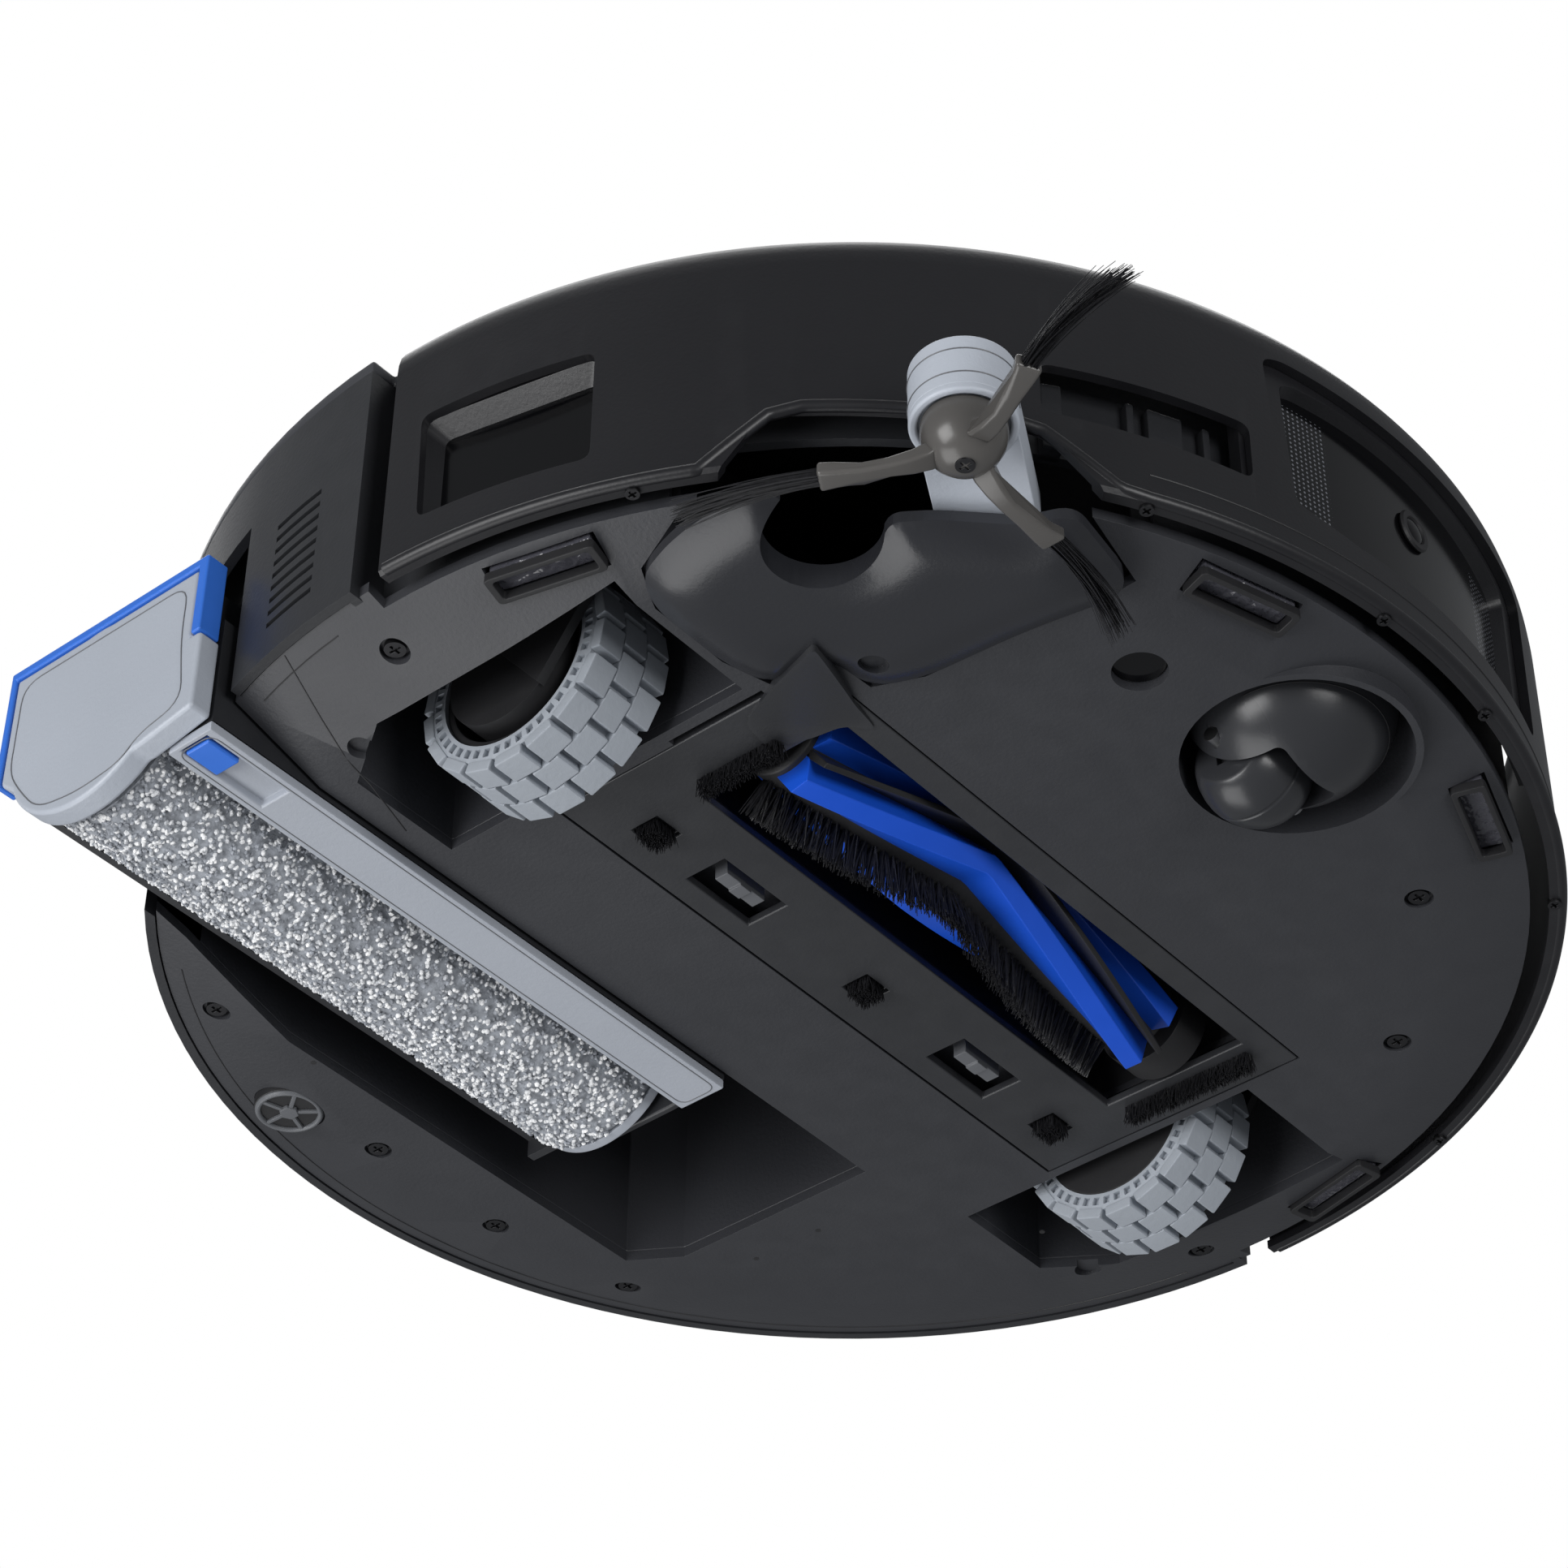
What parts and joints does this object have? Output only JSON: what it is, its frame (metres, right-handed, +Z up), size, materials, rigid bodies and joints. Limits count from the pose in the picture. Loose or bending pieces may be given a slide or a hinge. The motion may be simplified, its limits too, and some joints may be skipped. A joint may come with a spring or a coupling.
{
  "type": "robot vacuum",
  "caption": "Round robot vacuum and mop with a sprung front bumper, swinging side brush, ridged main brush, drive wheels, caster and an extending mop roller.",
  "frame": {"origin": "centre of the round casing, on the flat underside of the base plate and brush guard", "axes": "-Y is the front of travel, +Z is up, -X is the robot's right, where the side brush and the mop reach out"},
  "size_m": [0.3538, 0.3756, 0.1005],
  "materials": {
    "arm_white": "fine-grained",
    "board_green": "lacquered",
    "bracket_grey": "fine-grained",
    "brass_plate": "plated",
    "bristle_black": "stiff nylon bristle",
    "brush_blue": "satin",
    "bumper_black": "satin",
    "charcoal": "fine-grained matte",
    "clear_lens": "clear",
    "hub_grey": "glossy",
    "inner_grey": "plain moulded",
    "lid_grey": "soft matte",
    "mop_grey": "fine-grained",
    "mop_pile": "curly microfibre pile",
    "rubber_black": "soft",
    "silver_trim": "satin silver",
    "steel": "plain",
    "tank_clear": "smoky",
    "trim_blue": "satin",
    "tyre_grey": "soft, grey",
    "window_black": "glossy"
  },
  "bodies": {
    "casing": {"base_plate": "charcoal", "wheel_wells": "charcoal", "mop_bay": "charcoal", "brush_chamber": "charcoal", "gearbox_hood": "hub_grey", "drain_vent": "inner_grey", "carpet_sensor": "window_black", "cliff_lenses": "clear_lens", "base_screws": "steel", "side_shell": "bumper_black", "charging_contacts": "brass_plate", "top_deck": "inner_grey", "top_ring": "silver_trim", "suction_duct": "inner_grey", "battery": "charcoal", "main_board": "board_green", "fan_motor": "steel", "water_tank": "tank_clear", "suspension_pins": "steel", "brush_bearing": "charcoal", "brush_motor": "steel", "drive_belt": "rubber_black"},
    "bumper_body": {"bumper": "bumper_black", "side_window": "window_black", "front_window": "window_black"},
    "button": {"start_button": "silver_trim"},
    "lid": {"top_lid": "lid_grey"},
    "bin": {"dustbin": "inner_grey", "dustbin_filter": "arm_white"},
    "right_suspension": {"right_wheel_arm": "inner_grey"},
    "right_wheel": {"right_wheel_hub": "inner_grey", "right_tyre": "tyre_grey"},
    "left_suspension": {"left_wheel_arm": "inner_grey"},
    "left_wheel": {"left_wheel_hub": "inner_grey", "left_tyre": "tyre_grey"},
    "caster_fork": {"caster_hood": "hub_grey", "caster_axle": "steel"},
    "caster_roller": {"caster_wheel": "rubber_black"},
    "main_brush": {"brush_core": "brush_blue", "brush_blades": "rubber_black", "brush_bristles": "bristle_black", "brush_pulley": "bumper_black"},
    "brush_drive": {"motor_pulley": "bumper_black"},
    "guard": {"brush_guard": "charcoal", "guard_tufts": "bristle_black"},
    "right_latch": {"right_guard_latch": "inner_grey"},
    "left_latch": {"left_guard_latch": "inner_grey"},
    "swing_arm": {"side_arm": "arm_white"},
    "side_spinner": {"side_hub": "hub_grey", "side_bristles": "bristle_black"},
    "mop_carriage": {"mop_slider": "charcoal"},
    "mop_module": {"mop_frame": "charcoal", "mop_cover": "bracket_grey", "mop_motor": "steel"},
    "mop_roller": {"mop_core": "charcoal", "mop_pile": "mop_pile", "mop_end_disc": "bracket_grey"},
    "mop_cap": {"mop_end_cap": "mop_grey", "mop_trim": "trim_blue"},
    "release_tab": {"mop_tab": "trim_blue"}
  },
  "joints": [
    {"name": "bumper_slide", "type": "slide", "parent": "casing", "child": "bumper_body", "axis": [0, 1, 0], "range_m": [0, 0.0035], "stiffness_N_per_m": 350, "springref_m": -0.004},
    {"name": "start_button_press", "type": "slide", "parent": "casing", "child": "button", "axis": [0, 0, -1], "range_m": [0, 0.0012], "stiffness_N_per_m": 500, "springref_m": -0.002},
    {"name": "lid_lift", "type": "slide", "parent": "casing", "child": "lid", "axis": [0, 0, 1], "range_m": [0, 0.08]},
    {"name": "dustbin_lift", "type": "slide", "parent": "casing", "child": "bin", "axis": [0, 0, 1], "range_m": [0, 0.04]},
    {"name": "right_suspension_swing", "type": "hinge", "parent": "casing", "child": "right_suspension", "pos_m": [-0.14, -0.04, 0.038], "axis": [1, 0, 0], "range_deg": [0, 18], "stiffness_Nm_per_rad": 0.3, "springref_deg": -34.38},
    {"name": "right_wheel_spin", "type": "hinge", "parent": "right_suspension", "child": "right_wheel", "pos_m": [-0.11675, -0.0027, 0.014], "axis": [1, 0, 0], "continuous": true},
    {"name": "left_suspension_swing", "type": "hinge", "parent": "casing", "child": "left_suspension", "pos_m": [0.14, -0.04, 0.038], "axis": [1, 0, 0], "range_deg": [0, 18], "stiffness_Nm_per_rad": 0.3, "springref_deg": -34.38},
    {"name": "left_wheel_spin", "type": "hinge", "parent": "left_suspension", "child": "left_wheel", "pos_m": [0.11675, -0.0027, 0.014], "axis": [1, 0, 0], "continuous": true},
    {"name": "caster_swivel", "type": "hinge", "parent": "casing", "child": "caster_fork", "pos_m": [0, -0.133, 0.038], "axis": [0, 0, 1], "continuous": true},
    {"name": "caster_roll", "type": "hinge", "parent": "caster_fork", "child": "caster_roller", "pos_m": [0, -0.121, 0.0026], "axis": [1, 0, 0], "continuous": true},
    {"name": "brush_spin", "type": "hinge", "parent": "casing", "child": "main_brush", "pos_m": [0, -0.038, 0.011], "axis": [1, 0, 0], "continuous": true},
    {"name": "brush_motor_spin", "type": "hinge", "parent": "casing", "child": "brush_drive", "pos_m": [-0.09, -0.038, 0.052], "axis": [1, 0, 0], "continuous": true},
    {"name": "guard_pull", "type": "slide", "parent": "casing", "child": "guard", "axis": [0, 0, -1], "range_m": [0, 0.04]},
    {"name": "right_latch_slide", "type": "slide", "parent": "guard", "child": "right_latch", "axis": [1, 0, 0], "range_m": [0, 0.003], "stiffness_N_per_m": 120, "springref_m": -0.002},
    {"name": "left_latch_slide", "type": "slide", "parent": "guard", "child": "left_latch", "axis": [1, 0, 0], "range_m": [0, 0.003], "stiffness_N_per_m": 120, "springref_m": -0.002},
    {"name": "side_arm_swing", "type": "hinge", "parent": "casing", "child": "swing_arm", "pos_m": [-0.0984, -0.1197, 0.01], "axis": [0, 0, 1], "range_deg": [-66.7, 0]},
    {"name": "side_brush_spin", "type": "hinge", "parent": "swing_arm", "child": "side_spinner", "pos_m": [-0.132, -0.138, 0.005], "axis": [0, 0, 1], "continuous": true},
    {"name": "mop_extend", "type": "slide", "parent": "casing", "child": "mop_carriage", "axis": [1, 0, 0], "range_m": [0, 0.05]},
    {"name": "mop_lift", "type": "slide", "parent": "mop_carriage", "child": "mop_module", "axis": [0, 0, 1], "range_m": [0, 0.009]},
    {"name": "mop_roller_spin", "type": "hinge", "parent": "mop_module", "child": "mop_roller", "pos_m": [-0.08, 0.088, 0.0165], "axis": [1, 0, 0], "continuous": true},
    {"name": "mop_cap_pull", "type": "slide", "parent": "mop_module", "child": "mop_cap", "axis": [-1, 0, 0], "range_m": [0, 0.02]},
    {"name": "mop_tab_slide", "type": "slide", "parent": "mop_module", "child": "release_tab", "axis": [1, 0, 0], "range_m": [0, 0.003], "stiffness_N_per_m": 120, "springref_m": -0.002}
  ],
  "couplings": [
    {"joint": "dustbin_lift", "follows": "lid_lift", "ratio": 0.5},
    {"joint": "brush_motor_spin", "follows": "brush_spin", "ratio": 1}
  ]
}
